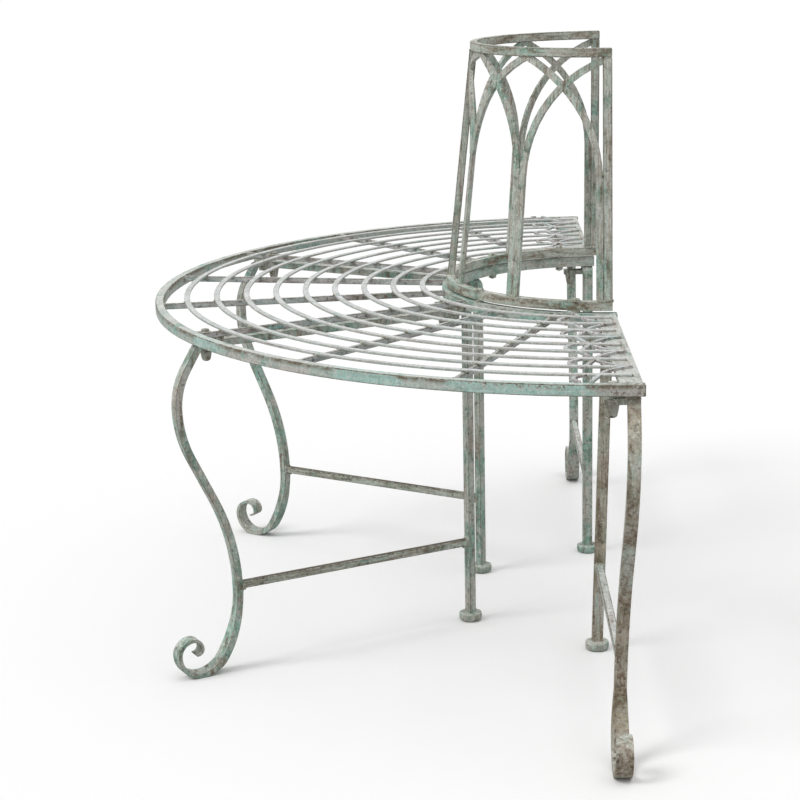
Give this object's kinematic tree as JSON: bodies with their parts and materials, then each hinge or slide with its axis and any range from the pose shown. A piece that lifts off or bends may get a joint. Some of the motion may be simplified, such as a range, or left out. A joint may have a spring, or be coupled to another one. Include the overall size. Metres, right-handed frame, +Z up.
{
  "type": "tree bench",
  "caption": "Half-round slatted metal garden bench that stands around one side of a tree trunk, with a curved arched backrest and scrolled legs.",
  "frame": {"origin": "on the floor under the middle of the bench's outline", "axes": "+X runs from the left end to the right end along the open side, +Y points from the seat's front to the tree, +Z up"},
  "size_m": [1.3414, 0.6413, 0.812],
  "materials": {
    "seat_metal": "worn grey-green paint, rough",
    "leg_metal": "worn grey-green paint with brown patches, rough",
    "back_metal": "worn grey-green paint with brown patches, rough",
    "fixings": "weathered, rough"
  },
  "bodies": {
    "root": {"back_arch_bar_1": "back_metal", "back_arch_bar_10": "back_metal", "back_arch_bar_2": "back_metal", "back_arch_bar_3": "back_metal", "back_arch_bar_4": "back_metal", "back_arch_bar_5": "back_metal", "back_arch_bar_6": "back_metal", "back_arch_bar_7": "back_metal", "back_arch_bar_8": "back_metal", "back_arch_bar_9": "back_metal", "back_bolts": "fixings", "back_bottom_rail": "back_metal", "back_end_post_left": "back_metal", "back_end_post_right": "back_metal", "back_middle_post": "back_metal", "back_nuts": "fixings", "back_spacers": "fixings", "back_top_rail": "back_metal", "end_tracery_left": "seat_metal", "end_tracery_right": "seat_metal", "leg_bolts": "fixings", "leg_cleats": "leg_metal", "leg_foot_left_end": "leg_metal", "leg_foot_left_front": "leg_metal", "leg_foot_right_end": "leg_metal", "leg_foot_right_front": "leg_metal", "leg_frame_left_end": "leg_metal", "leg_frame_left_front": "leg_metal", "leg_frame_right_end": "leg_metal", "leg_frame_right_front": "leg_metal", "leg_nuts": "fixings", "leg_stretcher_left_end": "leg_metal", "leg_stretcher_left_front": "leg_metal", "leg_stretcher_right_end": "leg_metal", "leg_stretcher_right_front": "leg_metal", "seat_end_bar_left": "seat_metal", "seat_end_bar_right": "seat_metal", "seat_inner_rim": "seat_metal", "seat_outer_rim": "seat_metal", "seat_radial_1": "seat_metal", "seat_radial_2": "seat_metal", "seat_radial_3": "seat_metal", "seat_radial_4": "seat_metal", "seat_radial_5": "seat_metal", "seat_radial_6": "seat_metal", "seat_radial_7": "seat_metal", "seat_radial_8": "seat_metal", "seat_strip_1": "seat_metal", "seat_strip_2": "seat_metal", "seat_strip_3": "seat_metal", "seat_strip_4": "seat_metal", "seat_strip_5": "seat_metal", "seat_strip_6": "seat_metal", "seat_strip_7": "seat_metal", "seat_strip_8": "seat_metal", "seat_strip_9": "seat_metal"}
  },
  "joints": []
}
